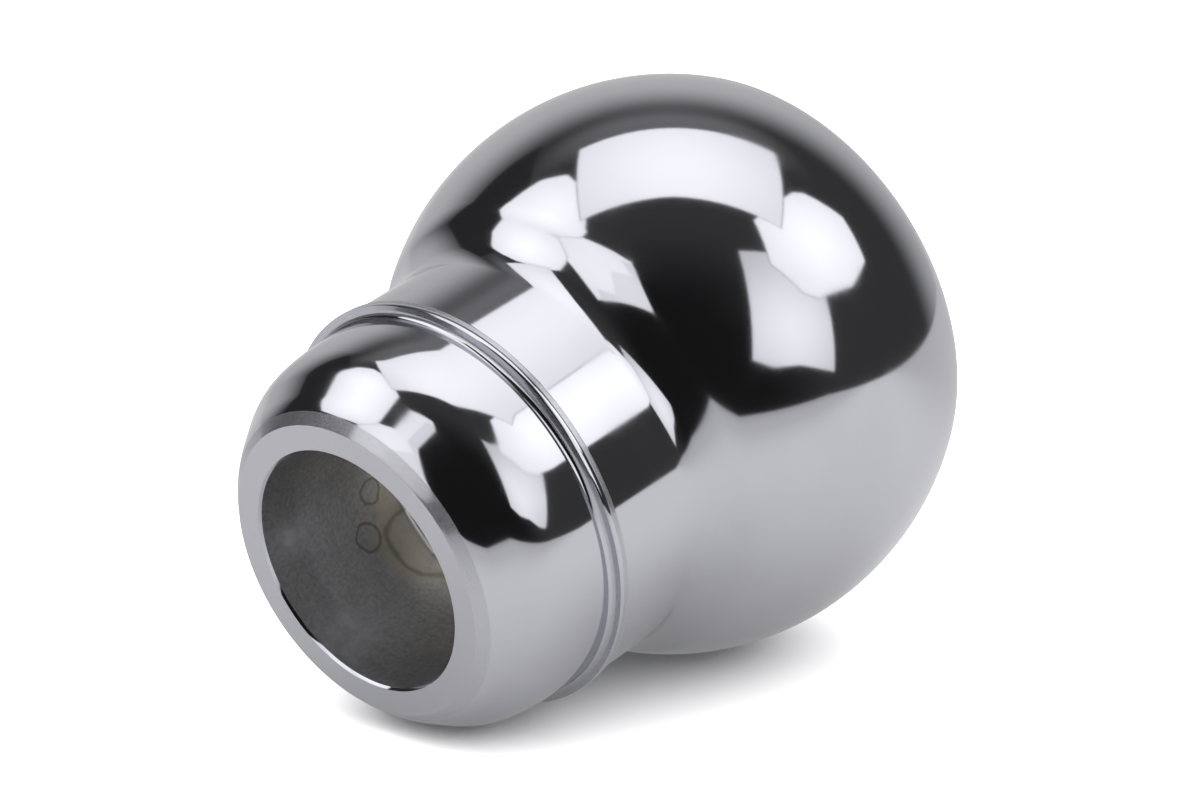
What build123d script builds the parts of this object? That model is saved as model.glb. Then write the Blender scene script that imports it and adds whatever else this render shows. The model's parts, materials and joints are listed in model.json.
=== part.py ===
# Gear shift knob: one bar of stainless steel turned to a ball on a neck, with a collar that holds the
# socket for the shift lever. Millimetres, +Z up along the turning axis, mouth of the collar on z = 0.
import os
from math import acos, asin, degrees, radians, sqrt, tan

from build123d import *

# Socket and tapped hole, drilled up from the mouth
socket_diameter = 21.5
socket_depth = 15.2
socket_lead_in = 0.45  # bevel at the mouth of the socket
thread_diameter = 12.0
thread_pitch = 1.25
thread_depth = 20.0
thread_lead_in = 0.9  # countersink at the start of the thread
drill_point_angle = 118.0

# Collar around the socket: a straight band, rounded off by an arc into a cone
collar_wall = 6.93
collar_height = 11.35
collar_band = 3.06  # straight stretch under the bead
collar_shoulder_radius = 9.65
collar_cone_angle = 36.5  # degrees from the axis
mouth_bevel_width = 0.92
mouth_bevel_height = 0.82

# Bead between collar and neck: a short slope, then two fine ridges with a groove between them
bead_hollow = 0.7  # height and width of the slope up to the ridges
bead_rise = 1.03  # crest of the ridges above the collar
bead_width = 1.0  # across both ridges
groove_depth = 0.11

# Neck and ball
neck_rise = 0.67  # neck above the collar
neck_length = 9.3
neck_fillet = 4.6
ball_diameter = 50.8
crown_drop = 8.45  # flat crown below the top of a full ball
crown_shoulder_radius = 9.0

# Radii and heights that follow
socket_radius = socket_diameter / 2
collar_radius = socket_radius + collar_wall
bead_radius = collar_radius + bead_rise
neck_radius = collar_radius + neck_rise
ball_radius = ball_diameter / 2
tap_drill_radius = (thread_diameter - thread_pitch) / 2
bead_bottom = collar_height + bead_hollow
bead_top = bead_bottom + bead_width
ball_foot = bead_top + neck_length
ball_height = ball_foot + sqrt(ball_radius**2 - neck_radius**2)
crown_height = ball_height + ball_radius - crown_drop
drill_point = tap_drill_radius / tan(radians(drill_point_angle / 2))


def ring(radius, height):
    """The round edge of the knob that passes through this radius at this height."""
    return knob.edges().filter_by(GeomType.CIRCLE).sort_by_distance((radius, 0, height))[0]


with BuildPart() as knob:
    # Half section of the outside, closed along the axis
    with BuildSketch(Plane.XZ) as section:
        with BuildLine():
            # Collar, from the bead down to the mouth
            band = Line((collar_radius, collar_height), (collar_radius, collar_height - collar_band))
            shoulder = JernArc(band @ 1, band % 1, collar_shoulder_radius, -collar_cone_angle)
            cone_height = (shoulder @ 1).Y - mouth_bevel_height
            cone_foot = (shoulder @ 1).X - cone_height * tan(radians(collar_cone_angle))
            cone = Line(shoulder @ 1, (cone_foot, mouth_bevel_height))
            bevel = Line(cone @ 1, (cone_foot - mouth_bevel_width, 0))
            Line(bevel @ 1, (0, 0))

            # Bead
            slope = Line(band @ 0, (collar_radius + bead_hollow, bead_bottom))
            flank = Line(slope @ 1, (bead_radius, bead_bottom))
            groove = Line(flank @ 1, (bead_radius - groove_depth, bead_bottom + bead_width / 2))
            ridge = Line(groove @ 1, (bead_radius, bead_top))
            Line(ridge @ 1, (neck_radius, bead_top))

            # Neck, ball and crown
            ball_start = -degrees(acos(neck_radius / ball_radius))
            ball_end = degrees(asin((crown_height - ball_height) / ball_radius))
            ball = CenterArc((0, ball_height), ball_radius, ball_start, ball_end - ball_start)
            Line((neck_radius, bead_top), ball @ 0)
            crown = Line(ball @ 1, (0, crown_height))
            Line(crown @ 1, (0, 0))
        make_face()
        fillet(section.vertices().sort_by_distance(ball @ 0)[0], neck_fillet)
        fillet(section.vertices().sort_by_distance(ball @ 1)[0], crown_shoulder_radius)
    revolve(axis=Axis.Z)

    # Socket with the tapped hole in its floor, and the drill point above it
    with Locations(-Plane.XY):
        CounterBoreHole(tap_drill_radius, socket_radius, socket_depth, socket_depth + thread_depth)
    with Locations((0, 0, socket_depth + thread_depth)):
        Cone(
            tap_drill_radius,
            0,
            drill_point,
            align=(Align.CENTER, Align.CENTER, Align.MIN),
            mode=Mode.SUBTRACT,
        )
    chamfer(ring(socket_radius, 0), socket_lead_in)
    chamfer(ring(tap_drill_radius, socket_depth), thread_lead_in)

knob.part.label = "knob"
os.makedirs("parts", exist_ok=True)
export_step(knob.part, "parts/knob.step")
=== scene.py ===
"""Gear shift knob in polished steel, with the white table, the soft lights and the camera around it."""
import json
from collections import namedtuple

import bpy
import numpy as np
from mathutils import Matrix, Vector


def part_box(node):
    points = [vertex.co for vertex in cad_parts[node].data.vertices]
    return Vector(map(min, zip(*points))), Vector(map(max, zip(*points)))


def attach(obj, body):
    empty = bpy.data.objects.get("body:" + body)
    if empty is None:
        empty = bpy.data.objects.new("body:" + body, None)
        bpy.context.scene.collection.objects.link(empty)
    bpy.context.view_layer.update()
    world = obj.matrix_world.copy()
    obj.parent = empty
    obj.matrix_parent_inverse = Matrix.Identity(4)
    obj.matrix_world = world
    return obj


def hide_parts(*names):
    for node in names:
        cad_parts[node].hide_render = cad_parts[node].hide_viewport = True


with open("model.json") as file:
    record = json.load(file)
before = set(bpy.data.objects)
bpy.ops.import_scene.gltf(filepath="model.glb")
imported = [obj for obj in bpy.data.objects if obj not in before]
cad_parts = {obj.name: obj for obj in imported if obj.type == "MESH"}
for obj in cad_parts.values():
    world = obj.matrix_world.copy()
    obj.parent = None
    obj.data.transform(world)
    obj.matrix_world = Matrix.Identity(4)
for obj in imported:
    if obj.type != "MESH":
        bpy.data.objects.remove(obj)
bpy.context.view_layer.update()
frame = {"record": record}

bl_info = {
    "name": "Turned shift knob",
    "version": (1, 0, 0),
    "blender": (4, 5, 0),
    "location": "View3D > Sidebar > Shift knob",
    "description": "Turns a polished steel gear shift knob and sets it on a white table under soft lights",
    "category": "Object",
}

MM = 0.001
TINY = 1e-9
MOUNTS = {mount["name"]: mount for mount in frame["record"]["mounts"]}
KNOB_LOW, KNOB_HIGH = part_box("knob")
BALL_RADIUS = min(KNOB_HIGH.x, KNOB_HIGH.y, -KNOB_LOW.x, -KNOB_LOW.y)

# Finishes of the knob, in the order of its material slots
POLISHED, TURNED, BORED = range(3)

ROUND_STEPS = 256  # faces around the axis
ROWS_IN_A_PITCH = 6  # rows of faces in one turn of the thread
FADE_PITCHES = 2  # turns over which the thread runs out
FINE_RINGS = 3  # rings on the upper half of the bead
SHARP_ANGLE = np.radians(28)

# Flats of the thread's profile, as shares of the pitch
CREST_FLAT, ROOT_FLAT = 1 / 4, 1 / 8

# Marks on the socket's wall: degrees around the axis, and height above the mouth and radius in millimetres
Mark = namedtuple("Mark", "turn height radius")
DRIED_DROPS = (Mark(201.1, 10.4, 1.25), Mark(219.4, 12.4, 1.08))
WIPED_SPOTS = (Mark(170.0, 2.0, 4.2), Mark(221.5, 2.4, 2.6))
PALE_SPOT = Mark(185.5, 15.0, 3.3)
PALE_FILM = Mark(191.5, 16.5, 7.0)


def length(name, description, millimetres):
    """A size of the knob or the studio as a distance property."""
    return bpy.props.FloatProperty(
        name=name, description=description, default=millimetres * MM, min=0, precision=5,
        subtype="DISTANCE", unit="LENGTH",
    )


def angle(name, description, degrees):
    """An angle property, stated in degrees."""
    return bpy.props.FloatProperty(
        name=name, description=description, default=np.radians(degrees), subtype="ANGLE", unit="ROTATION"
    )


def colour(name, description, value):
    """A linear colour property."""
    return bpy.props.FloatVectorProperty(
        name=name, description=description, default=value, size=3, min=0, max=1, subtype="COLOR"
    )


def level(name, description, value):
    """A plain number, such as a roughness or the strength of a light."""
    return bpy.props.FloatProperty(name=name, description=description, default=value, min=0)


class KnobSizes(bpy.types.PropertyGroup):
    """Sizes of the turned knob."""

    ball_radius: length("Ball radius", "Radius of the ball", BALL_RADIUS / MM)
    ball_height: length("Ball height", "Centre of the ball above the mouth", 39.912)
    crown_height: length("Crown height", "Flat crown above the mouth", KNOB_HIGH.z / MM)
    crown_shoulder: length("Crown shoulder", "Radius between ball and crown", 9.0)
    neck_radius: length("Neck radius", "Radius of the straight neck", 18.35)
    neck_fillet: length("Neck fillet", "Tight arc at the top of the neck", 4.42)
    neck_fillet_turn: angle("Neck fillet turn", "How far that arc turns outwards", 29.8)
    neck_hollow: length("Neck hollow", "Wide arc from the fillet up to the ball's foot", 9.7)
    neck_hollow_turn: angle("Neck hollow turn", "Slope from the axis where the wide arc ends", 46.0)
    ball_foot: length("Ball foot", "Rounding between the hollow and the ball", 6.5)
    bead_radius: length("Bead radius", "Crest of the bead's polished ridge", 18.71)
    bead_top: length("Bead top", "Upper edge of the bead above the mouth", 13.05)
    bead_width: length("Bead width", "Width of the ridge and the fine rings together", 1.0)
    ridge_width: length("Ridge width", "Width of the polished ridge", 0.56)
    groove_depth: length("Groove depth", "Groove between the ridge and the fine rings", 0.06)
    ring_depth: length("Ring depth", "Height of the fine rings", 0.012)
    bead_hollow: length("Bead hollow", "Radius of the hollow under the bead", 0.55)
    bead_foot: length("Bead foot", "Radius of the hollow from the bead down to the neck", 0.28)
    collar_radius: length("Collar radius", "Radius of the collar's straight band", 17.68)
    collar_band: length("Collar band", "Length of the straight band", 1.85)
    collar_blend: length("Collar blend", "Wide arc below the band", 21.0)
    collar_blend_turn: angle("Collar blend turn", "How far the wide arc turns", 9.7)
    collar_shoulder: length("Collar shoulder", "Tighter arc into the cone", 6.5)
    collar_cone: angle("Collar cone", "Slope of the cone from the axis", 33.0)
    collar_lip: length("Collar lip", "Rounding from the cone into the bevel", 6.83)
    lip_height: length("Lip height", "Where the cone starts to round over, above the mouth", 1.92)
    bevel_width: length("Bevel width", "Width of the bevel around the mouth", 0.92)
    bevel_height: length("Bevel height", "Height of the bevel around the mouth", 0.82)
    socket_radius: length("Socket radius", "Radius of the socket", MOUNTS["socket"]["dims"]["r_mm"])
    socket_depth: length("Socket depth", "Depth of the socket", 15.2)
    lead_in_height: length("Lead-in height", "Height of the bevel at the mouth of the socket", 0.26)
    lead_in_width: length("Lead-in width", "Width of that bevel", 0.20)
    taper_height: length("Taper height", "Where the socket starts to widen towards the bevel", 4.0)
    taper_width: length("Taper width", "How far the socket has widened at the bevel", 0.25)
    socket_corner: length("Socket corner", "Hollow that the boring tool leaves around the floor", 0.35)
    tap_radius: length("Tap radius", "Radius of the tapped hole", MOUNTS["lever_thread"]["dims"]["r_mm"])
    thread_length: length("Thread length", "Depth of the tapped hole above the socket", 20.0)
    thread_pitch: length("Thread pitch", "Rise of the thread in one turn", 1.25)
    thread_height: length("Thread height", "How deep the thread is cut into the wall", 0.65)
    thread_blank: length("Thread blank", "Bare end of the hole that the tap leaves", 1.5)
    thread_lead_in: length("Thread lead-in", "Countersink at the start of the thread", 0.9)
    drill_point: angle("Drill point", "Half of the angle of the drill's point", 59.0)
    edge_ease: length("Edge ease", "Rounding of the turned edges", 0.06)


class KnobFinish(bpy.types.PropertyGroup):
    """Colours and gloss of the knob's finishes."""

    steel: colour("Steel", "Colour of the polished steel", (0.565, 0.567, 0.615))
    steel_roughness: level("Steel roughness", "Roughness of the polish", 0.07)
    turned: colour("Turned steel", "Colour of the turned ring around the mouth", (0.53, 0.53, 0.57))
    turned_roughness: level("Turned roughness", "Roughness of the smooth spots of the turned ring", 0.12)
    turned_haze: level("Turned haze", "Roughness of the dull grains between them", 0.55)
    bored: colour("Bored steel", "Colour of the bored socket", (0.60, 0.60, 0.61))
    bored_roughness: level("Bored roughness", "Roughness of the bored socket", 0.36)
    film: colour("Film", "Pale film that dried at the end of the socket", (0.80, 0.75, 0.64))
    stain: colour("Stain", "Brown edges of that film", (0.17, 0.13, 0.06))


class StudioSetup(bpy.types.PropertyGroup):
    """Camera, table and lights."""

    view_azimuth: angle("View azimuth", "Direction of the camera around the axis", 101.617)
    view_elevation: angle("View elevation", "Direction of the camera above the mouth", -37.847)
    view_roll: angle("View roll", "Turn of the picture about the line of sight", 56.567)
    view_pitch: angle("View pitch", "How far the camera looks down on the table", 15.8)
    view_distance: length("View distance", "From the camera to the point it looks at", 437.66)
    lens: bpy.props.FloatProperty(
        name="Lens", description="Focal length on a 36 mm wide frame", default=150.0, min=1, unit="CAMERA"
    )
    aim: bpy.props.FloatVectorProperty(
        name="Aim", description="Point that the camera looks at", default=(-0.003950, -0.001522, 0.034558),
        size=3, precision=6, subtype="TRANSLATION", unit="LENGTH",
    )
    table_level: length("Table level", "Table below the origin, along its own upright", 15.40)
    table_side: length("Table side", "From the origin to the table's left and right edges", 500)
    table_front: length("Table front", "From the origin to the table's edge at the camera", 230)
    table_behind: length("Table behind", "From the origin to the table's far edge", 900)
    table_white: colour("Table", "Colour of the white table", (0.90, 0.90, 0.90))
    # Painted light on the table: its whitest strip stands in for light along its middle; this is half that
    # strip's depth
    painted_light_half_depth: length("Table lit", "Half the depth of the table's whitest strip", 110)
    # Painted shade on the table: share of white in front of and behind the painted light strip, squared
    # towards the front edge
    painted_shade_share: level("Table dim", "White in front of and behind that strip, as a share", 0.76)
    table_in_metal: level("Table in metal", "Lit white of the table as metal mirrors it, as a share", 0.25)
    glow_in_metal: level("Glow in metal", "Even white that metal mirrors on top of it", 0.27)
    lamp_power: level("Lamp power", "Watts of the lamp over the table, not mirrored in metal", 106)
    lamp_size: length("Lamp size", "Width of the round lamp over the table", 4000)
    lamp_height: length("Lamp height", "Lamp above the ball", 800)
    lamp_front: length("Lamp front", "Lamp before the ball, towards the camera", 250)
    lamp_right: length("Lamp right", "Lamp to the right of the ball", 200)
    soft_light: level("Soft light", "Strength of all the light panels together", 1.0)
    rim_width: length("Rim width", "Rim around the cloth of a light panel", 16)
    rim_shine: level("Rim shine", "Strength of that rim, as a share of the cloth's", 0.2)
    room: level("Room", "Strength of the dim room", 0.05)
    room_front: level("Room front", "Strength of the dark part of the room behind the camera", 0.012)
    front_core: angle("Room front core", "Half the angle over which that part is evenly dark", 35)
    front_edge: angle("Room front edge", "Half the angle where that part ends", 75)
    wall: level("Back wall", "Strength of the lit patch on the wall straight behind the table", 0.545)
    wall_core: angle("Back wall core", "Half the angle over which that patch is evenly lit", 19)
    wall_edge: angle("Back wall edge", "Half the angle where that patch ends, upwards", 49)
    wall_stretch: level("Back wall stretch", "How much wider than high that patch is", 1.45)
    haze: level("Haze", "Strength of the faint light on the wall under the overhead box", 0.2)
    haze_low: angle("Haze low", "Height over the table where that faint light starts", 40)
    haze_high: angle("Haze high", "Height over the table where it is full", 56)


# Section and mesh of the knob


def straight(start, end, steps=1):
    """Points of a straight run from start to end, both (radius, height). They crowd together at both ends,
    as half of one minus a cosine, so that the shading of the runs beside it does not creep in."""
    share = (1 - np.cos(np.linspace(0, np.pi, steps + 1)[:, None])) / 2
    return (1 - share) * np.array(start) + share * np.array(end)


def arc(centre, radius, start, end, steps):
    """Points at one radius from the centre, from one angle to another, counted from straight outwards."""
    turn = np.linspace(start, end, steps + 1)
    return np.array(centre) + radius * np.column_stack([np.cos(turn), np.sin(turn)])


def eased(before, corner, after, radius, steps=3):
    """The corner of two straight runs, rounded: an arc that touches both, its bulge towards the corner."""
    before, corner, after = (np.array(point, float) for point in (before, corner, after))
    inward = (before - corner) / np.linalg.norm(before - corner)
    onward = (after - corner) / np.linalg.norm(after - corner)
    half = np.arccos(np.clip(inward @ onward, -1, 1)) / 2
    middle = (inward + onward) / np.linalg.norm(inward + onward)
    centre = corner + middle * radius / np.sin(half)
    spread = np.linspace(half - np.pi / 2, np.pi / 2 - half, steps + 1)[:, None]
    across = onward - middle * (onward @ middle)
    across /= np.linalg.norm(across)
    return centre + radius * (np.sin(spread) * across - np.cos(spread) * middle)


def ball_and_neck(size):
    """Section from the bead up to the axis: neck, hollow, ball's foot, ball, crown shoulder and flat crown.
    The hollow is a tight arc off the neck and a wide arc after it. The foot's rounding lies inside the ball
    and touches it where the hollow's end, one rounding further in, meets a circle of the two radii's
    difference. Heights are then worked out downwards, arc by arc. The shoulder's centre lies one shoulder
    radius below the crown and one inside the ball."""
    fillet, hollow = size.neck_fillet, size.neck_hollow
    foot, shoulder = size.ball_foot, size.crown_shoulder
    turn, steep = size.neck_fillet_turn, size.neck_hollow_turn
    hollow_r = size.neck_radius + fillet * (1 - np.cos(turn)) + hollow * np.cos(turn)
    foot_r = hollow_r - (hollow + foot) * np.cos(steep)
    slope = np.arccos(foot_r / (size.ball_radius - foot))
    foot_z = size.ball_height - (size.ball_radius - foot) * np.sin(slope)
    hollow_z = foot_z - (hollow + foot) * np.sin(steep)
    neck_top = hollow_z + (hollow - fillet) * np.sin(turn)
    neck_foot = size.bead_top + size.bead_foot
    shoulder_z = size.crown_height - shoulder
    rise = shoulder_z - size.ball_height
    shoulder_r = np.sqrt((size.ball_radius - shoulder) ** 2 - rise**2)
    ball_to = np.arctan2(rise, shoulder_r)
    return [
        (straight((size.neck_radius, neck_foot), (size.neck_radius, neck_top), steps=16), POLISHED),
        (arc((size.neck_radius + fillet, neck_top), fillet, np.pi, np.pi - turn, steps=16), POLISHED),
        (arc((hollow_r, hollow_z), hollow, np.pi - turn, np.pi - steep, steps=16), POLISHED),
        (arc((foot_r, foot_z), foot, -steep, -slope, steps=12), POLISHED),
        (arc((0, size.ball_height), size.ball_radius, -slope, ball_to, steps=64), POLISHED),
        (arc((shoulder_r, shoulder_z), shoulder, ball_to, np.pi / 2, steps=28), POLISHED),
        (straight((shoulder_r, size.crown_height), (0, size.crown_height), steps=3), POLISHED),
    ]


def outward(slope):
    """Unit vector square to a wall that leans out from the axis by this slope, looking out and down."""
    return np.array([np.cos(slope), -np.sin(slope)])


def collar(size):
    """Section from the mouth's bevel up to the bead: lip, cone, shoulder, wide blend and straight band.
    Each arc's centre lies on the line square to the wall where the stretch above it ends, so there is no
    kink. The lip turns until it is down at the bevel: the sine of its last slope is its centre's height
    over the bevel by its radius."""
    blend_turn, cone = size.collar_blend_turn, size.collar_cone
    band_top = size.bead_top - size.bead_width - size.bead_hollow
    band_foot = (size.collar_radius, band_top - size.collar_band)
    blend_centre = (size.collar_radius - size.collar_blend, band_foot[1])
    blend = arc(blend_centre, size.collar_blend, -blend_turn, 0, steps=12)
    shoulder_centre = blend[0] - size.collar_shoulder * outward(blend_turn)
    shoulder = arc(shoulder_centre, size.collar_shoulder, -cone, -blend_turn, steps=12)
    drop = shoulder[0, 1] - size.lip_height
    lip_top = shoulder[0] - drop * np.array([np.tan(cone), 1])
    lip_centre = lip_top - size.collar_lip * outward(cone)
    lip_slope = np.arcsin((lip_centre[1] - size.bevel_height) / size.collar_lip)
    return [
        (arc(lip_centre, size.collar_lip, -lip_slope, -cone, steps=8), POLISHED),
        (straight(lip_top, shoulder[0], steps=8), POLISHED),
        (shoulder, POLISHED),
        (blend, POLISHED),
        (straight(band_foot, (size.collar_radius, band_top), steps=8), POLISHED),
    ]


def bulge(start, width, rise, steps):
    """An outward arc over a width along the axis. Its radius is the sum of the squares of half the width
    and of the rise, over twice the rise."""
    radius = (width**2 / 4 + rise**2) / (2 * rise)
    spread = np.arcsin(width / 2 / radius)
    centre = (start[0] + rise - radius, start[1] + width / 2)
    return arc(centre, radius, -spread, spread, steps)


def bead(size):
    """Section of the bead: a quarter hollow, a flat flank, a round polished ridge, fine rings and a hollow
    down to the neck. The upper half of the first hollow and all that follows the ridge keep the satin of
    the tool."""
    flank_z = size.bead_top - size.bead_width
    hollow_centre = (size.collar_radius + size.bead_hollow, flank_z - size.bead_hollow)
    lower_hollow = arc(hollow_centre, size.bead_hollow, np.pi, np.pi * 3 / 4, steps=5)
    upper_hollow = arc(hollow_centre, size.bead_hollow, np.pi * 3 / 4, np.pi / 2, steps=5)
    groove = (size.bead_radius - size.groove_depth, flank_z)
    ridge = bulge(groove, size.ridge_width, size.groove_depth, steps=8)
    ring_width = (size.bead_width - size.ridge_width) / FINE_RINGS
    rings = []
    start = ridge[-1]
    for _ in range(FINE_RINGS):
        ring = bulge(start, ring_width, size.ring_depth, steps=4)
        rings.append((ring, TURNED))
        start = ring[-1]
    foot_centre = (size.neck_radius + size.bead_foot, size.bead_top + size.bead_foot)
    foot = arc(foot_centre, size.bead_foot, -np.pi / 2, -np.pi, steps=6)
    return [
        (lower_hollow, POLISHED),
        (upper_hollow, TURNED),
        (straight(upper_hollow[-1], groove, steps=2), TURNED),
        (ridge, POLISHED),
        *rings,
        (straight(start, foot[0]), TURNED),
        (foot, TURNED),
    ]


def socket_and_mouth(size, bevel_edge):
    """Section from the axis down the tapped hole, across the socket's floor, down its wall, which widens a
    little towards the end, and out over the flat mouth to the upper edge of the bevel."""
    hole_end = size.socket_depth + size.thread_length
    tip = (0, hole_end + size.tap_radius / np.tan(size.drill_point))
    countersink = (size.tap_radius + size.thread_lead_in, size.socket_depth)
    corner = (size.socket_radius, size.socket_depth)
    taper_top = (size.socket_radius, size.taper_height)
    wall_foot = (size.socket_radius + size.taper_width, size.lead_in_height)
    inner_edge = (wall_foot[0] + size.lead_in_width, 0)
    outer_edge = (bevel_edge[0] - size.bevel_width, 0)
    floor_corner = eased(countersink, corner, taper_top, size.socket_corner, steps=6)
    rim_low = eased(taper_top, wall_foot, inner_edge, size.edge_ease)
    rim_high = eased(wall_foot, inner_edge, outer_edge, size.edge_ease)
    ring_edge = eased(inner_edge, outer_edge, bevel_edge, size.edge_ease)
    thread_rows = int(np.ceil(ROWS_IN_A_PITCH * size.thread_length / size.thread_pitch))
    thread_heights = np.linspace(hole_end, size.socket_depth, thread_rows + 1)
    return [
        (straight(tip, (size.tap_radius, hole_end), steps=2), BORED),
        (np.column_stack([np.full(thread_rows + 1, size.tap_radius), thread_heights]), BORED),
        (straight((size.tap_radius, size.socket_depth), countersink), BORED),
        (straight(countersink, floor_corner[0], steps=2), BORED),
        (floor_corner, BORED),
        (straight(floor_corner[-1], taper_top, steps=12), BORED),
        (straight(taper_top, rim_low[0], steps=6), BORED),
        (rim_low, TURNED),
        (straight(rim_low[-1], rim_high[0]), POLISHED),
        (rim_high, TURNED),
        (straight(rim_high[-1], ring_edge[0], steps=6), TURNED),
        (ring_edge, TURNED),
        (straight(ring_edge[-1], bevel_edge, steps=3), TURNED),
    ]


def thread_cut(size, height, turn):
    """How far the thread stands back from the drilled wall: a V with flat crest and root that rises one
    pitch in a turn and fades out before the bare end, and never less than the countersink at its start."""
    phase = (height - size.thread_pitch * turn / (2 * np.pi)) / size.thread_pitch
    from_root = np.abs(phase - np.floor(phase) - 1 / 2)
    crest_edge, root_edge = (1 - CREST_FLAT) / 2, ROOT_FLAT / 2
    groove = np.clip((crest_edge - from_root) / (crest_edge - root_edge), 0, 1)
    left = size.socket_depth + size.thread_length - height
    fade = np.clip((left - size.thread_blank) / (FADE_PITCHES * size.thread_pitch), 0, 1)
    countersink = size.thread_lead_in - (height - size.socket_depth)
    return np.maximum(size.thread_height * groove * fade, np.clip(countersink, 0, None))


def ring_faces(rows, steps):
    """Faces of rows of points around an axis, each row closed on itself, with one point before the first
    row and one after the last: triangles at both ends, and quads from each point to the next row's."""
    here = 1 + steps * np.arange(rows)[:, None] + np.arange(steps)
    there = np.roll(here, -1, axis=1)
    quads = np.stack([here[:-1], there[:-1], there[1:], here[1:]], axis=-1).reshape(-1, 4)
    first = np.column_stack([np.zeros(steps, int), there[0], here[0]])
    last = np.column_stack([here[-1], there[-1], np.full(steps, 1 + steps * rows)])
    return [*first.tolist(), *quads.tolist(), *last.tolist()]


def turned_mesh(name, stretches, cut):
    """A closed mesh of revolution: each point (radius, height) of the section goes once around the axis,
    with cut(rows, turn) added to its radius. Both ends are single points on the axis."""
    points = np.vstack([stretches[0][0][:1], *[run[1:] for run, _ in stretches]])
    finish = np.concatenate([np.full(len(run) - 1, kind) for run, kind in stretches])
    turn = np.linspace(0, 2 * np.pi, ROUND_STEPS, endpoint=False)
    rows = points[1:-1]
    radius = rows[:, :1] + cut(rows, turn)
    height = np.broadcast_to(rows[:, 1:], radius.shape)
    grid = np.stack([radius * np.cos(turn), radius * np.sin(turn), height], axis=-1)
    low, high = (0, 0, points[0, 1]), (0, 0, points[-1, 1])
    vertices = np.vstack([[low], grid.reshape(-1, 3), [high]])
    mesh = bpy.data.meshes.new(name)
    mesh.from_pydata(vertices.tolist(), [], ring_faces(len(rows), ROUND_STEPS))
    mesh.polygons.foreach_set("material_index", np.repeat(finish, ROUND_STEPS).astype(np.int32))
    mesh.polygons.foreach_set("use_smooth", np.ones(len(mesh.polygons), bool))
    mesh.set_sharp_from_angle(angle=SHARP_ANGLE)
    mesh.validate()
    mesh.update()
    return mesh


# Shader helpers

WHITE, BLACK = (1.0, 1.0, 1.0, 1.0), (0.0, 0.0, 0.0, 1.0)

# Sockets of a Mix node that mixes colours
MIX_FACTOR, MIX_FIRST, MIX_SECOND, MIX_RESULT = 0, 6, 7, 2


def add(tree, kind, inputs=None, **settings):
    """Adds a node with its settings, and fills or links its inputs by name or number."""
    made = tree.nodes.new(kind)
    for key, value in settings.items():
        setattr(made, key, value)
    for key, value in (inputs or {}).items():
        if isinstance(value, bpy.types.NodeSocket):
            tree.links.new(value, made.inputs[key])
        else:
            made.inputs[key].default_value = value
    return made


def calc(tree, operation, *values):
    """The result of a Math node on the given sockets or numbers."""
    return add(tree, "ShaderNodeMath", dict(enumerate(values)), operation=operation).outputs[0]


def vector(tree, operation, *values, output="Vector"):
    """The result of a Vector Math node on the given sockets or vectors."""
    return add(tree, "ShaderNodeVectorMath", dict(enumerate(values)), operation=operation).outputs[output]


def between(tree, value, low, high, to_low=0.0, to_high=1.0):
    """A smooth step of the value from low to high, given as to_low to to_high."""
    inputs = {"Value": value, "From Min": low, "From Max": high, "To Min": to_low, "To Max": to_high}
    return add(tree, "ShaderNodeMapRange", inputs, interpolation_type="SMOOTHSTEP").outputs["Result"]


def scaled(tree, value, factor):
    """A vector made longer or shorter by a factor."""
    return add(tree, "ShaderNodeVectorMath", {0: value, "Scale": factor}, operation="SCALE").outputs[0]


def noise(tree, place, scale, detail, output="Fac"):
    """The result of a Noise Texture node at a place."""
    inputs = {"Vector": place, "Scale": scale, "Detail": detail}
    return add(tree, "ShaderNodeTexNoise", inputs).outputs[output]


def mixed(tree, factor, first, second):
    """A colour between two colours or colour sockets."""
    inputs = {MIX_FACTOR: factor, MIX_FIRST: first, MIX_SECOND: second}
    return add(tree, "ShaderNodeMix", inputs, data_type="RGBA").outputs[MIX_RESULT]


def rgba(value, factor=1.0):
    """A colour property as four numbers, made lighter or darker by a factor."""
    return (*[channel * factor for channel in value], 1.0)


def new_group(name, inputs, outputs):
    """A shader node group with inputs, given as (name, kind, default), and outputs, given as (name, kind).
    Returns it with the sockets that lead in and out."""
    tree = bpy.data.node_groups.new(name, "ShaderNodeTree")
    for label, kind, value in inputs:
        socket = tree.interface.new_socket(label, in_out="INPUT", socket_type="NodeSocket" + kind)
        if value is not None:
            socket.default_value = value
    for label, kind in outputs:
        tree.interface.new_socket(label, in_out="OUTPUT", socket_type="NodeSocket" + kind)
    return tree, tree.nodes.new("NodeGroupInput").outputs, tree.nodes.new("NodeGroupOutput").inputs


# Marks of tool and polish, as shares unless a unit is given
MARK_DEPTH = 0.02 * MM
HAIRS_PER_METRE = (180.0, 180.0, 2600.0)
HAIR_SHARE = 0.25  # relief of the hair lines by that of the waviness
SMEAR_TONE, SMEAR_HAZE = 0.975, 1.5  # colour and roughness of a smear by those of the clean polish
RING_SPREAD = 0.02  # how much darker and lighter the rings of the turned faces are
BORED_SPREAD = 0.14  # how much darker and lighter the lines and grains of the bored faces are
BORED_SMOOTH, BORED_ROUGH = 0.9, 1.15  # least and most roughness of the bored faces
LINES_IN_TONE, GRAIN_IN_RELIEF = 0.4, 0.8  # the lines' part by the grain's, and the grain's by the lines'

# Marks in the socket: how much of the steel they cover, and their tone by that of the steel
SPOT_COVER, SPOT_TONE = 0.35, 1.3
# Painted shadow: a dark ring round the pale spot's edge, by its cover, tone and width
SPOT_PAINTED_SHADOW_COVER, SPOT_PAINTED_SHADOW_TONE, SPOT_PAINTED_SHADOW_WIDTH = 0.5, 0.3, 0.5 * MM
WIPED_TONE = 1.6
DROP_COVER = 0.6
DROP_SWAY = 0.5  # how far a dried drop is from round, by its radius
NOISE_MIDDLE = (0.5, 0.5, 0.5)


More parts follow.
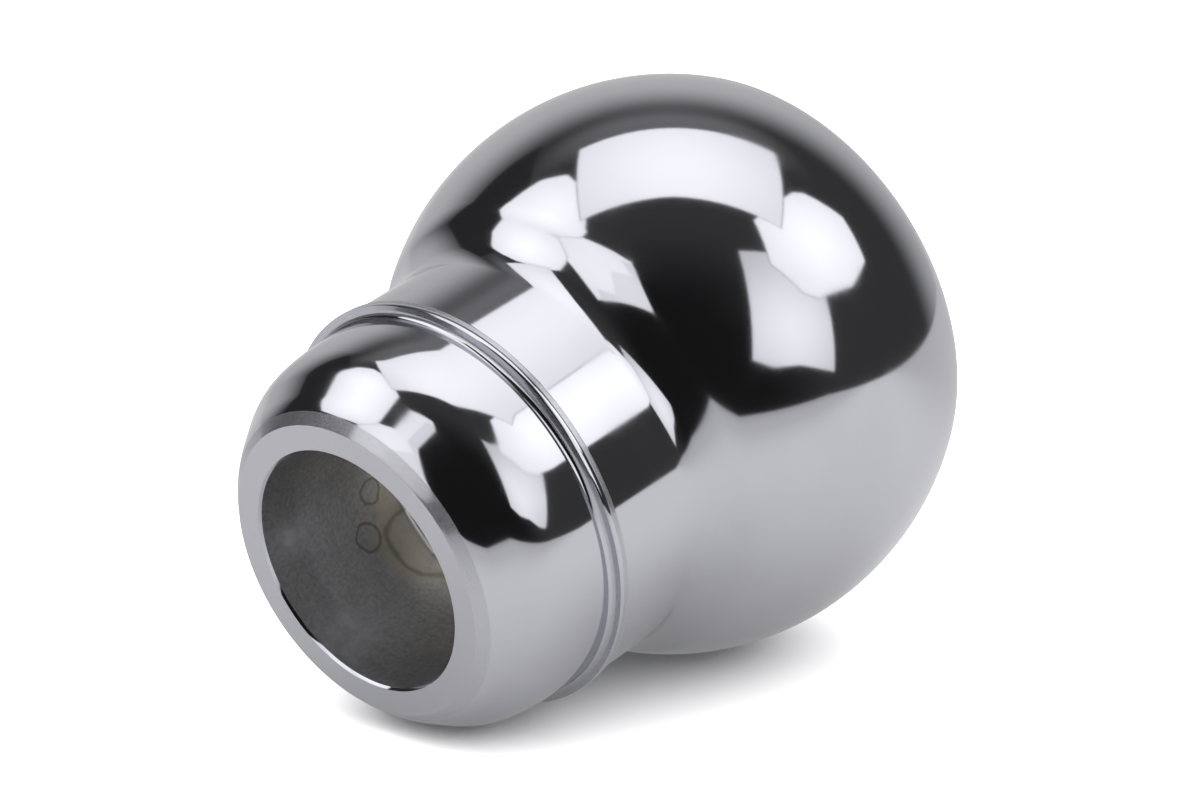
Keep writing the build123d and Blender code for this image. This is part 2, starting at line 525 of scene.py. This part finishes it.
def lathe_lines_group():
    """Rings that the turning tool leaves: noise over the way along the section, almost constant around the
    axis."""
    inputs = [("Vector", "Vector", None), ("Feed", "Float", 0.1 * MM), ("Drift", "Float", 1.0)]
    tree, given, out = new_group("Lathe lines", inputs, [("Height", "Float")])
    parts = add(tree, "ShaderNodeSeparateXYZ", {0: given["Vector"]}).outputs
    flat = add(tree, "ShaderNodeCombineXYZ", {"X": parts["X"], "Y": parts["Y"]}).outputs[0]
    radius = vector(tree, "LENGTH", flat, output="Value")
    along = calc(tree, "DIVIDE", calc(tree, "ADD", radius, parts["Z"]), given["Feed"])
    drift = scaled(tree, vector(tree, "NORMALIZE", flat), given["Drift"])
    around = add(tree, "ShaderNodeSeparateXYZ", {0: drift}).outputs
    place = add(tree, "ShaderNodeCombineXYZ", {"X": around["X"], "Y": around["Y"], "Z": along}).outputs[0]
    tree.links.new(noise(tree, place, scale=1.0, detail=2.0), out["Height"])
    return tree


def grain_group():
    """Fine even grain of a satin surface: noise of a given size in every direction."""
    inputs = [("Vector", "Vector", None), ("Size", "Float", 0.1 * MM)]
    tree, given, out = new_group("Satin grain", inputs, [("Height", "Float")])
    scale = calc(tree, "DIVIDE", 1.0, given["Size"])
    tree.links.new(noise(tree, given["Vector"], scale, detail=2.0), out["Height"])
    return tree


def polish_marks_group():
    """What polishing leaves: hair lines around the axis on a slow waviness, and soft smears where a hand
    has been. Each is noise, and that of the hair lines is many times finer along the axis than across."""
    inputs = [("Vector", "Vector", None)]
    tree, given, out = new_group("Polish marks", inputs, [("Height", "Float"), ("Smear", "Float")])
    place = given["Vector"]
    hairs = noise(tree, vector(tree, "MULTIPLY", place, HAIRS_PER_METRE), scale=1.0, detail=3.0)
    wave = noise(tree, place, scale=70.0, detail=1.0)
    smear = noise(tree, place, scale=130.0, detail=5.0)
    tree.links.new(calc(tree, "MULTIPLY_ADD", hairs, HAIR_SHARE, wave), out["Height"])
    tree.links.new(between(tree, smear, low=0.42, high=0.68), out["Smear"])
    return tree


def dried_drop_group():
    """The mark of a dried drop: a thin uneven ring at a radius from its centre, and the disc inside it,
    even over its core and fading from there to the ring. The distance is measured from a place that noise
    shifts by a share of the radius."""
    inputs = [
        ("Vector", "Vector", None), ("Centre", "Vector", None),
        ("Radius", "Float", MM), ("Line", "Float", 0.26 * MM), ("Core", "Float", 0.6),
    ]
    tree, given, out = new_group("Dried drop", inputs, [("Ring", "Float"), ("Disc", "Float")])
    place, radius = given["Vector"], given["Radius"]
    ripple = noise(tree, place, calc(tree, "DIVIDE", 1.0, radius), detail=1.0, output="Color")
    shift = vector(tree, "SUBTRACT", ripple, NOISE_MIDDLE)
    shift = scaled(tree, shift, calc(tree, "MULTIPLY", radius, DROP_SWAY))
    far = vector(tree, "DISTANCE", vector(tree, "ADD", place, shift), given["Centre"], output="Value")
    edge = calc(tree, "ABSOLUTE", calc(tree, "SUBTRACT", far, radius))
    tree.links.new(between(tree, edge, 0.0, given["Line"], to_low=1.0, to_high=0.0), out["Ring"])
    core = calc(tree, "MULTIPLY", radius, given["Core"])
    tree.links.new(between(tree, far, core, radius, to_low=1.0, to_high=0.0), out["Disc"])
    return tree


def place_group(tree, group, inputs):
    """Places a node group in a material with its own values; returns its outputs."""
    return add(tree, "ShaderNodeGroup", inputs, node_tree=group).outputs


def steel_material(name):
    """A material with a bare metal shader; returns it with its tree, shader and the object coordinates."""
    material = bpy.data.materials.new(name)
    material.use_nodes = True
    tree = material.node_tree
    shader = tree.nodes["Principled BSDF"]
    shader.inputs["Metallic"].default_value = 1.0
    return material, tree, shader, add(tree, "ShaderNodeTexCoord").outputs["Object"]


def dress(tree, shader, base, rough, height, strength):
    """Gives the shader its colour, its roughness and the relief of a height socket."""
    tree.links.new(base, shader.inputs["Base Color"])
    tree.links.new(rough, shader.inputs["Roughness"])
    relief = add(tree, "ShaderNodeBump", {"Strength": strength, "Distance": MARK_DEPTH, "Height": height})
    tree.links.new(relief.outputs[0], shader.inputs["Normal"])


def polished_steel(finish, groups):
    """Mirror polish: hair lines, a slow waviness and smears that dull the gloss a little."""
    material, tree, shader, place = steel_material("polished_steel")
    marks = place_group(tree, groups["polish"], {"Vector": place})
    base = mixed(tree, marks["Smear"], rgba(finish.steel), rgba(finish.steel, SMEAR_TONE))
    smooth = finish.steel_roughness
    rough = between(tree, marks["Smear"], 0.0, 1.0, to_low=smooth, to_high=smooth * SMEAR_HAZE)
    dress(tree, shader, base, rough, marks["Height"], strength=0.12)
    return material


def turned_steel(finish, groups):
    """Even satin of a fine facing cut: faint rings of the tool, and a grain, smooth and dull by turns."""
    material, tree, shader, place = steel_material("turned_steel")
    lines = {"Vector": place, "Feed": 0.06 * MM, "Drift": 1.2}
    rings = place_group(tree, groups["lathe"], lines)["Height"]
    grain = place_group(tree, groups["grain"], {"Vector": place, "Size": 0.03 * MM})["Height"]
    darker, lighter = rgba(finish.turned, 1 - RING_SPREAD), rgba(finish.turned, 1 + RING_SPREAD)
    base = mixed(tree, between(tree, rings, low=0.3, high=0.7), darker, lighter)
    rough = between(tree, grain, 0.46, 0.56, to_low=finish.turned_roughness, to_high=finish.turned_haze)
    dress(tree, shader, base, rough, rings, strength=0.03)
    return material


def on_wall(size, mark):
    """Centre and radius of a mark on the socket's wall, in metres, for a dried drop."""
    turn = np.radians(mark.turn)
    across, along = size.socket_radius * np.cos(turn), size.socket_radius * np.sin(turn)
    return {"Centre": (across, along, mark.height * MM), "Radius": mark.radius * MM}


def bored_steel(finish, size, groups):
    """Dull bored steel: fine tool lines and grain, a pale film with brown edges, a pale spot ringed by
    painted shadow, wiped spots and the outlines of dried drops. The film and the wiped spots are uneven by
    the same coarse noise."""
    material, tree, shader, place = steel_material("bored_steel")

    def drop(mark, **inputs):
        """The outputs of a dried drop at a mark on the socket's wall."""
        return place_group(tree, groups["drop"], {"Vector": place, **on_wall(size, mark), **inputs})

    def over(under, mask, cover, top):
        """A colour laid over another where the mask is, by a cover."""
        return mixed(tree, calc(tree, "MULTIPLY", mask, cover), under, top)

    lines = {"Vector": place, "Feed": 0.09 * MM, "Drift": 0.9}
    fine = place_group(tree, groups["lathe"], lines)["Height"]
    grain = place_group(tree, groups["grain"], {"Vector": place, "Size": 0.35 * MM})["Height"]
    patches = place_group(tree, groups["grain"], {"Vector": place, "Size": 1.6 * MM})["Height"]
    film_cover = between(tree, patches, low=0.35, high=0.6, to_low=0.35, to_high=0.85)
    stain_cover = between(tree, patches, low=0.4, high=0.3, to_low=0.0, to_high=0.5)
    wiped_cover = between(tree, patches, low=0.35, high=0.65, to_low=0.35, to_high=1.0)

    tone = between(tree, calc(tree, "MULTIPLY_ADD", fine, LINES_IN_TONE, grain), low=0.45, high=0.95)
    base = mixed(tree, tone, rgba(finish.bored, 1 - BORED_SPREAD), rgba(finish.bored, 1 + BORED_SPREAD))
    film = drop(PALE_FILM)["Disc"]
    base = over(base, film, film_cover, rgba(finish.film))
    base = over(base, film, stain_cover, rgba(finish.stain))
    spot = drop(PALE_SPOT, Line=SPOT_PAINTED_SHADOW_WIDTH)
    base = over(base, spot["Disc"], SPOT_COVER, rgba(finish.bored, SPOT_TONE))
    # Painted shadow: a dark ring round the pale spot's edge
    base = over(base, spot["Ring"], SPOT_PAINTED_SHADOW_COVER, rgba(finish.bored, SPOT_PAINTED_SHADOW_TONE))
    for mark in WIPED_SPOTS:
        base = over(base, drop(mark, Core=0.0)["Disc"], wiped_cover, rgba(finish.bored, WIPED_TONE))
    for mark in DRIED_DROPS:
        base = over(base, drop(mark)["Ring"], DROP_COVER, rgba(finish.stain))

    smoothest, roughest = finish.bored_roughness * BORED_SMOOTH, finish.bored_roughness * BORED_ROUGH
    rough = between(tree, fine, low=0.3, high=0.7, to_low=smoothest, to_high=roughest)
    relief = calc(tree, "MULTIPLY_ADD", grain, GRAIN_IN_RELIEF, fine)
    dress(tree, shader, base, rough, relief, strength=0.25)
    return material


class SHIFTKNOB_OT_turn_knob(bpy.types.Operator):
    """Turns the knob in one piece, with its socket and thread, and gives it its finishes"""

    bl_idname = "shift_knob.turn_knob"
    bl_label = "Turn the knob"

    def execute(self, context):
        size = context.scene.shift_knob_sizes
        finish = context.scene.shift_knob_finish
        outside = [*collar(size), *bead(size), *ball_and_neck(size)]
        lip, _ = outside[0]
        stretches = [*socket_and_mouth(size, bevel_edge=lip[0]), *outside]
        hole_end = size.socket_depth + size.thread_length

        def cut(rows, turn):
            """The thread, on the rows of the tapped hole alone."""
            radius, height = rows[:, :1], rows[:, 1:]
            drilled = np.abs(radius - size.tap_radius) < TINY
            in_hole = drilled & (height > size.socket_depth - TINY) & (height < hole_end - TINY)
            return np.where(in_hole, thread_cut(size, height, turn), 0)

        mesh = turned_mesh("shift_knob", stretches, cut)
        groups = {
            "lathe": lathe_lines_group(),
            "grain": grain_group(),
            "polish": polish_marks_group(),
            "drop": dried_drop_group(),
        }
        mesh.materials.append(polished_steel(finish, groups))
        mesh.materials.append(turned_steel(finish, groups))
        mesh.materials.append(bored_steel(finish, size, groups))
        knob = bpy.data.objects.new("shift_knob", mesh)
        context.scene.collection.objects.link(knob)
        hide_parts("knob")
        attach(knob, "root")
        return {"FINISHED"}


# Stage


def picture_axes(studio):
    """The picture's right, up and backward directions, from the camera's azimuth, elevation and roll."""
    azimuth, elevation, roll = studio.view_azimuth, studio.view_elevation, studio.view_roll
    level_back = np.array([np.sin(azimuth), -np.cos(azimuth), 0])
    back = np.cos(elevation) * level_back + np.sin(elevation) * np.array([0, 0, 1])
    level_right = np.array([np.cos(azimuth), np.sin(azimuth), 0])
    level_up = np.cross(back, level_right)
    right = np.cos(roll) * level_right + np.sin(roll) * level_up
    return right, np.cross(back, right), back


def put(scene, name, data, place, axes):
    """An object with this data at a place, its own axes along these directions."""
    made = bpy.data.objects.new(name, data)
    turn = Matrix(np.column_stack(axes).tolist()).to_4x4()
    made.matrix_world = Matrix.Translation(Vector(place)) @ turn
    scene.collection.objects.link(made)
    return made


def table_axes(studio):
    """The table's right, up and towards-camera directions: the picture's, tipped by the camera's pitch."""
    right, up, back = picture_axes(studio)
    pitch = studio.view_pitch
    return right, np.cos(pitch) * up + np.sin(pitch) * back, np.cos(pitch) * back - np.sin(pitch) * up


# A light panel: metres from the ball, strength in its middle, share of that at its edge, and the
# directions of its corners from the ball in degrees: around from the camera, positive to the picture's
# right, and above the table. A nearer panel hides a farther one.
Panel = namedtuple("Panel", "distance strength edge corners")
PANELS = {
    "overhead_box": Panel(1.1, 1.63, 0.8, [
        (-74, 59.2), (5, 83.1), (79.3, 52.4), (137, 50.2), (-140.5, 54.2),
    ]),
    "left_box": Panel(1.8, 1.80, 0.8, [
        (-98, 26), (-109, 31.8), (-117.3, 38.8), (-121.8, 48.3), (-120.3, 56.7), (-100, 64),
        (-71, 60.1), (-63.5, 57), (-61.5, 50), (-62.7, 44.4), (-70.8, 34.5), (-84.6, 28),
    ]),
    "left_panel": Panel(2.0, 1.50, 0.8, [
        (-72, 8), (-72, 45), (-60.2, 47.7), (-39, 53.3), (-24, 53.5), (-24, 8),
    ]),
    "left_flap": Panel(1.95, 1.26, 0.8, [
        (-23, 50.5), (-24, 8), (-64, 8), (-43, 30.7), (-28.5, 39), (-33.3, 48),
    ]),
    "left_screen": Panel(2.3, 0.03, 1.0, [(-146, 38), (-114, -2), (-95, -2), (-95, 30), (-118, 45)]),
    "right_box": Panel(1.8, 1.82, 0.8, [
        (57.3, 45.5), (64.2, 31.7), (70, 27.7), (89, 24), (103.5, 25), (112.8, 35.1),
        (112.8, 48), (110, 51.5), (71, 60.5),
    ]),
    "right_panel": Panel(2.0, 1.45, 0.6, [
        (44.6, 54.6), (78, 38), (66.5, 3.7), (52, 9.2), (41, 10.4), (32.6, 14.4),
    ]),
}
# Painted light: the table's whitest strip stands in for light falling along its middle
PAINTED_LIGHT_CORE = 1 / 4  # share of the table's whitest strip that is evenly white
ROOM_RADIUS = 3.0  # metres
RIM_SETBACK = 0.005  # metres from a panel's cloth back to its rim
SENSOR_WIDTH = 36.0  # millimetres
CLIP_NEAR, CLIP_FAR = 0.01, 20.0  # metres from the camera


def directions(corners, axes):
    """Unit vectors of (around, above) pairs in degrees, on the table's axes."""
    around, above = np.radians(np.array(corners, float)).T
    right, up, toward = axes
    flat = np.sin(around)[:, None] * right + np.cos(around)[:, None] * toward
    return np.cos(above)[:, None] * flat + np.sin(above)[:, None] * up


def stage_material(name):
    """A material without a shader; returns it with its tree and the object coordinates."""
    material = bpy.data.materials.new(name)
    material.use_nodes = True
    tree = material.node_tree
    tree.nodes.clear()
    return material, tree, add(tree, "ShaderNodeTexCoord").outputs["Object"]


def light_material(name, strength, edge, centre, reach):
    """A cloth front that is brightest in its middle and a little dimmer towards its edges."""
    material, tree, place = stage_material(name)
    far = vector(tree, "DISTANCE", place, tuple(centre), output="Value")
    shine = between(tree, far, 0.0, reach, to_low=strength, to_high=edge * strength)
    glow = add(tree, "ShaderNodeEmission", {"Strength": shine})
    add(tree, "ShaderNodeOutputMaterial", {"Surface": glow.outputs[0]})
    return material


def stage_object(scene, name, vertices, faces, material, seen_by_camera):
    """A stage mesh with its material, hidden from the camera if it only lights the knob."""
    mesh = bpy.data.meshes.new(name)
    mesh.from_pydata(np.array(vertices).tolist(), [], faces)
    mesh.materials.append(material)
    made = bpy.data.objects.new(name, mesh)
    made.visible_camera = seen_by_camera
    scene.collection.objects.link(made)


def hang_panel(scene, name, panel, axes, centre):
    """A flat light square to its mean direction, its corners on the lines from the ball to the stated
    directions. Its rim lies just behind it: the same outline, stretched away from the middle."""
    studio = scene.shift_knob_studio
    rays = directions(panel.corners, axes)
    middle = rays.sum(0) / np.linalg.norm(rays.sum(0))
    points = centre + rays * (panel.distance / (rays @ middle))[:, None]
    heart = points.mean(0)
    reach = np.linalg.norm(points - heart, axis=1).max()
    face = [tuple(range(len(points)))]
    strength = panel.strength * studio.soft_light
    cloth = light_material(name + "_cloth", strength, panel.edge, heart, reach)
    stage_object(scene, name, points, face, cloth, False)
    rim_points = points + studio.rim_width / reach * (points - heart) + RIM_SETBACK * middle
    rim = light_material(name + "_rim", strength * studio.rim_shine, panel.edge, heart, reach)
    stage_object(scene, name + "_rim", rim_points, face, rim, False)


def seen_rays(tree):
    """Two masks of the rays that show a surface: to the camera itself, and in metal and glass."""
    path = add(tree, "ShaderNodeLightPath").outputs
    return path["Is Camera Ray"], calc(tree, "MAXIMUM", path["Is Glossy Ray"], path["Is Transmission Ray"])


def table_material(studio, toward):
    """White table, whitest along its middle and dimmer towards its front and back: painted light along the
    middle and painted shade off it, deepest towards the front edge. The camera sees it as it is lit, with
    the knob's shadow; metal mirrors it dimmer, with an even white added. It is clear from below."""
    material, tree, place = stage_material("white_table")
    forward = vector(tree, "DOT_PRODUCT", place, tuple(toward), output="Value")
    evenly_lit = studio.painted_light_half_depth * PAINTED_LIGHT_CORE
    painted_shade_off_middle = between(tree, calc(tree, "ABSOLUTE", forward), evenly_lit, studio.painted_light_half_depth)
    painted_shade_near_front = between(tree, forward, studio.painted_light_half_depth, studio.table_front)
    # Painted light and shade: the cloth is whitest along the middle, with painted shade off it and deeper
    # towards the front edge
    cloth = mixed(tree, painted_shade_off_middle, rgba(studio.table_white), rgba(studio.table_white, studio.painted_shade_share))
    cloth = mixed(tree, painted_shade_near_front, cloth, rgba(studio.table_white, studio.painted_shade_share**2))
    _, mirrored = seen_rays(tree)
    share = between(tree, mirrored, 0.0, 1.0, to_low=1.0, to_high=studio.table_in_metal)
    lit = add(tree, "ShaderNodeBsdfDiffuse", {"Color": mixed(tree, share, BLACK, cloth)})
    strength = calc(tree, "MULTIPLY", mirrored, studio.glow_in_metal)
    glow = add(tree, "ShaderNodeEmission", {"Color": cloth, "Strength": strength})
    white = add(tree, "ShaderNodeAddShader", {0: lit.outputs[0], 1: glow.outputs[0]})
    below = add(tree, "ShaderNodeNewGeometry").outputs["Backfacing"]
    clear = add(tree, "ShaderNodeBsdfTransparent")
    both = add(tree, "ShaderNodeMixShader", {0: below, 1: white.outputs[0], 2: clear.outputs[0]})
    add(tree, "ShaderNodeOutputMaterial", {"Surface": both.outputs[0]})
    return material


def room_material(studio, axes):
    """A dim room, darkest behind the camera, with a lit patch on the wall straight behind the table and a
    faint light on that wall higher up. The patch is a smooth step of the cosine of the angle from straight
    behind, measured after the way sideways is shortened, so that it is wider than high."""
    material, tree, place = stage_material("dim_room")
    away = vector(tree, "NORMALIZE", place)
    right, up, toward = axes
    sideways, height, behind = (
        vector(tree, "DOT_PRODUCT", away, tuple(axis), output="Value") for axis in (right, up, -toward)
    )
    narrowed = calc(tree, "DIVIDE", sideways, studio.wall_stretch)
    offset = add(tree, "ShaderNodeCombineXYZ", {"X": narrowed, "Y": height, "Z": behind}).outputs[0]
    close = calc(tree, "DIVIDE", behind, vector(tree, "LENGTH", offset, output="Value"))
    patch = between(tree, close, np.cos(studio.wall_edge), np.cos(studio.wall_core), 0.0, studio.wall)
    front = between(
        tree, behind, -np.cos(studio.front_core), -np.cos(studio.front_edge), studio.room_front, studio.room
    )
    high = between(tree, height, np.sin(studio.haze_low), np.sin(studio.haze_high), 0.0, studio.haze)
    wall_side = np.cos(studio.wall_edge)
    haze = calc(tree, "MULTIPLY", high, between(tree, behind, wall_side / 2, wall_side))
    strength = calc(tree, "ADD", calc(tree, "ADD", patch, front), haze)
    glow = add(tree, "ShaderNodeEmission", {"Strength": strength})
    add(tree, "ShaderNodeOutputMaterial", {"Surface": glow.outputs[0]})
    return material


def sphere_grid(radius, around=48, above=24):
    """Points and faces of a sphere: rings of equal angles from pole to pole, each pole a single point."""
    turn = np.linspace(0, 2 * np.pi, around, endpoint=False)
    rise = np.linspace(-np.pi / 2, np.pi / 2, above + 1)[1:-1, None]
    height = np.broadcast_to(np.sin(rise), (above - 1, around))
    rings = np.stack([np.cos(rise) * np.cos(turn), np.cos(rise) * np.sin(turn), height], axis=-1)
    points = radius * np.vstack([[(0, 0, -1)], rings.reshape(-1, 3), [(0, 0, 1)]])
    return points, ring_faces(above - 1, around)


def set_world(scene):
    """A white surround for what the camera sees, also in metal; it gives no light of its own."""
    world = bpy.data.worlds.new("white_surround")
    world.use_nodes = True
    tree = world.node_tree
    background = tree.nodes["Background"]
    background.inputs["Color"].default_value = WHITE
    tree.links.new(calc(tree, "MAXIMUM", *seen_rays(tree)), background.inputs["Strength"])
    scene.world = world


class SHIFTKNOB_OT_set_stage(bpy.types.Operator):
    """Lays the white table under the knob, hangs the lights and sets up the camera"""

    bl_idname = "shift_knob.set_stage"
    bl_label = "Set the stage"

    def execute(self, context):
        scene = context.scene
        studio = scene.shift_knob_studio
        scene.view_settings.view_transform = "Standard"
        set_world(scene)
        axes = right, up, toward = table_axes(studio)
        ball = np.array([0, 0, scene.shift_knob_sizes.ball_height])
        foot = -studio.table_level * up
        side, front, behind = studio.table_side, studio.table_front, studio.table_behind
        corners = [(-side, front), (side, front), (side, -behind), (-side, -behind)]
        table = [foot + x * right + y * toward for x, y in corners]
        stage_object(scene, "white_table", table, [(0, 1, 2, 3)], table_material(studio, toward), True)
        points, faces = sphere_grid(ROOM_RADIUS)
        stage_object(scene, "dim_room", points, faces, room_material(studio, axes), False)
        for name, panel in PANELS.items():
            hang_panel(scene, name, panel, axes, ball)

        lamp = bpy.data.lights.new("table_lamp", "AREA")
        lamp.shape = "DISK"
        lamp.size = studio.lamp_size
        lamp.energy = studio.lamp_power
        lamp_shift = studio.lamp_height * up + studio.lamp_front * toward + studio.lamp_right * right
        hung = put(scene, "table_lamp", lamp, ball + lamp_shift, (right, -toward, up))
        hung.visible_camera = False
        hung.visible_glossy = False

        camera = bpy.data.cameras.new("camera")
        camera.lens = studio.lens
        camera.sensor_width = SENSOR_WIDTH
        camera.clip_start = CLIP_NEAR
        camera.clip_end = CLIP_FAR
        view_right, view_up, back = picture_axes(studio)
        view_from = np.array(studio.aim) + studio.view_distance * back
        scene.camera = put(scene, "camera", camera, view_from, (view_right, view_up, back))
        return {"FINISHED"}


class SHIFTKNOB_PT_sidebar(bpy.types.Panel):
    """Sizes, finishes and studio of the knob, with the buttons that build them"""

    bl_label = "Shift knob"
    bl_idname = "SHIFTKNOB_PT_sidebar"
    bl_space_type = "VIEW_3D"
    bl_region_type = "UI"
    bl_category = "Shift knob"

    def draw(self, context):
        for operator in OPERATORS:
            self.layout.operator(operator.bl_idname)
        for place, group in SETTINGS.items():
            box = self.layout.box()
            for name in group.__annotations__:
                box.prop(getattr(context.scene, place), name)


SETTINGS = {
    "shift_knob_sizes": KnobSizes,
    "shift_knob_finish": KnobFinish,
    "shift_knob_studio": StudioSetup,
}
OPERATORS = (SHIFTKNOB_OT_turn_knob, SHIFTKNOB_OT_set_stage)
CLASSES = (*SETTINGS.values(), *OPERATORS, SHIFTKNOB_PT_sidebar)


def register():
    """Adds the classes, and the settings to every scene."""
    for item in CLASSES:
        bpy.utils.register_class(item)
    for place, group in SETTINGS.items():
        setattr(bpy.types.Scene, place, bpy.props.PointerProperty(type=group))


def unregister():
    """Takes the settings and the classes away again."""
    for place in SETTINGS:
        delattr(bpy.types.Scene, place)
    for item in reversed(CLASSES):
        bpy.utils.unregister_class(item)


def main():
    """Builds the knob and its stage."""
    register()
    bpy.ops.shift_knob.turn_knob()
    bpy.ops.shift_knob.set_stage()


if __name__ == "__main__":
    main()
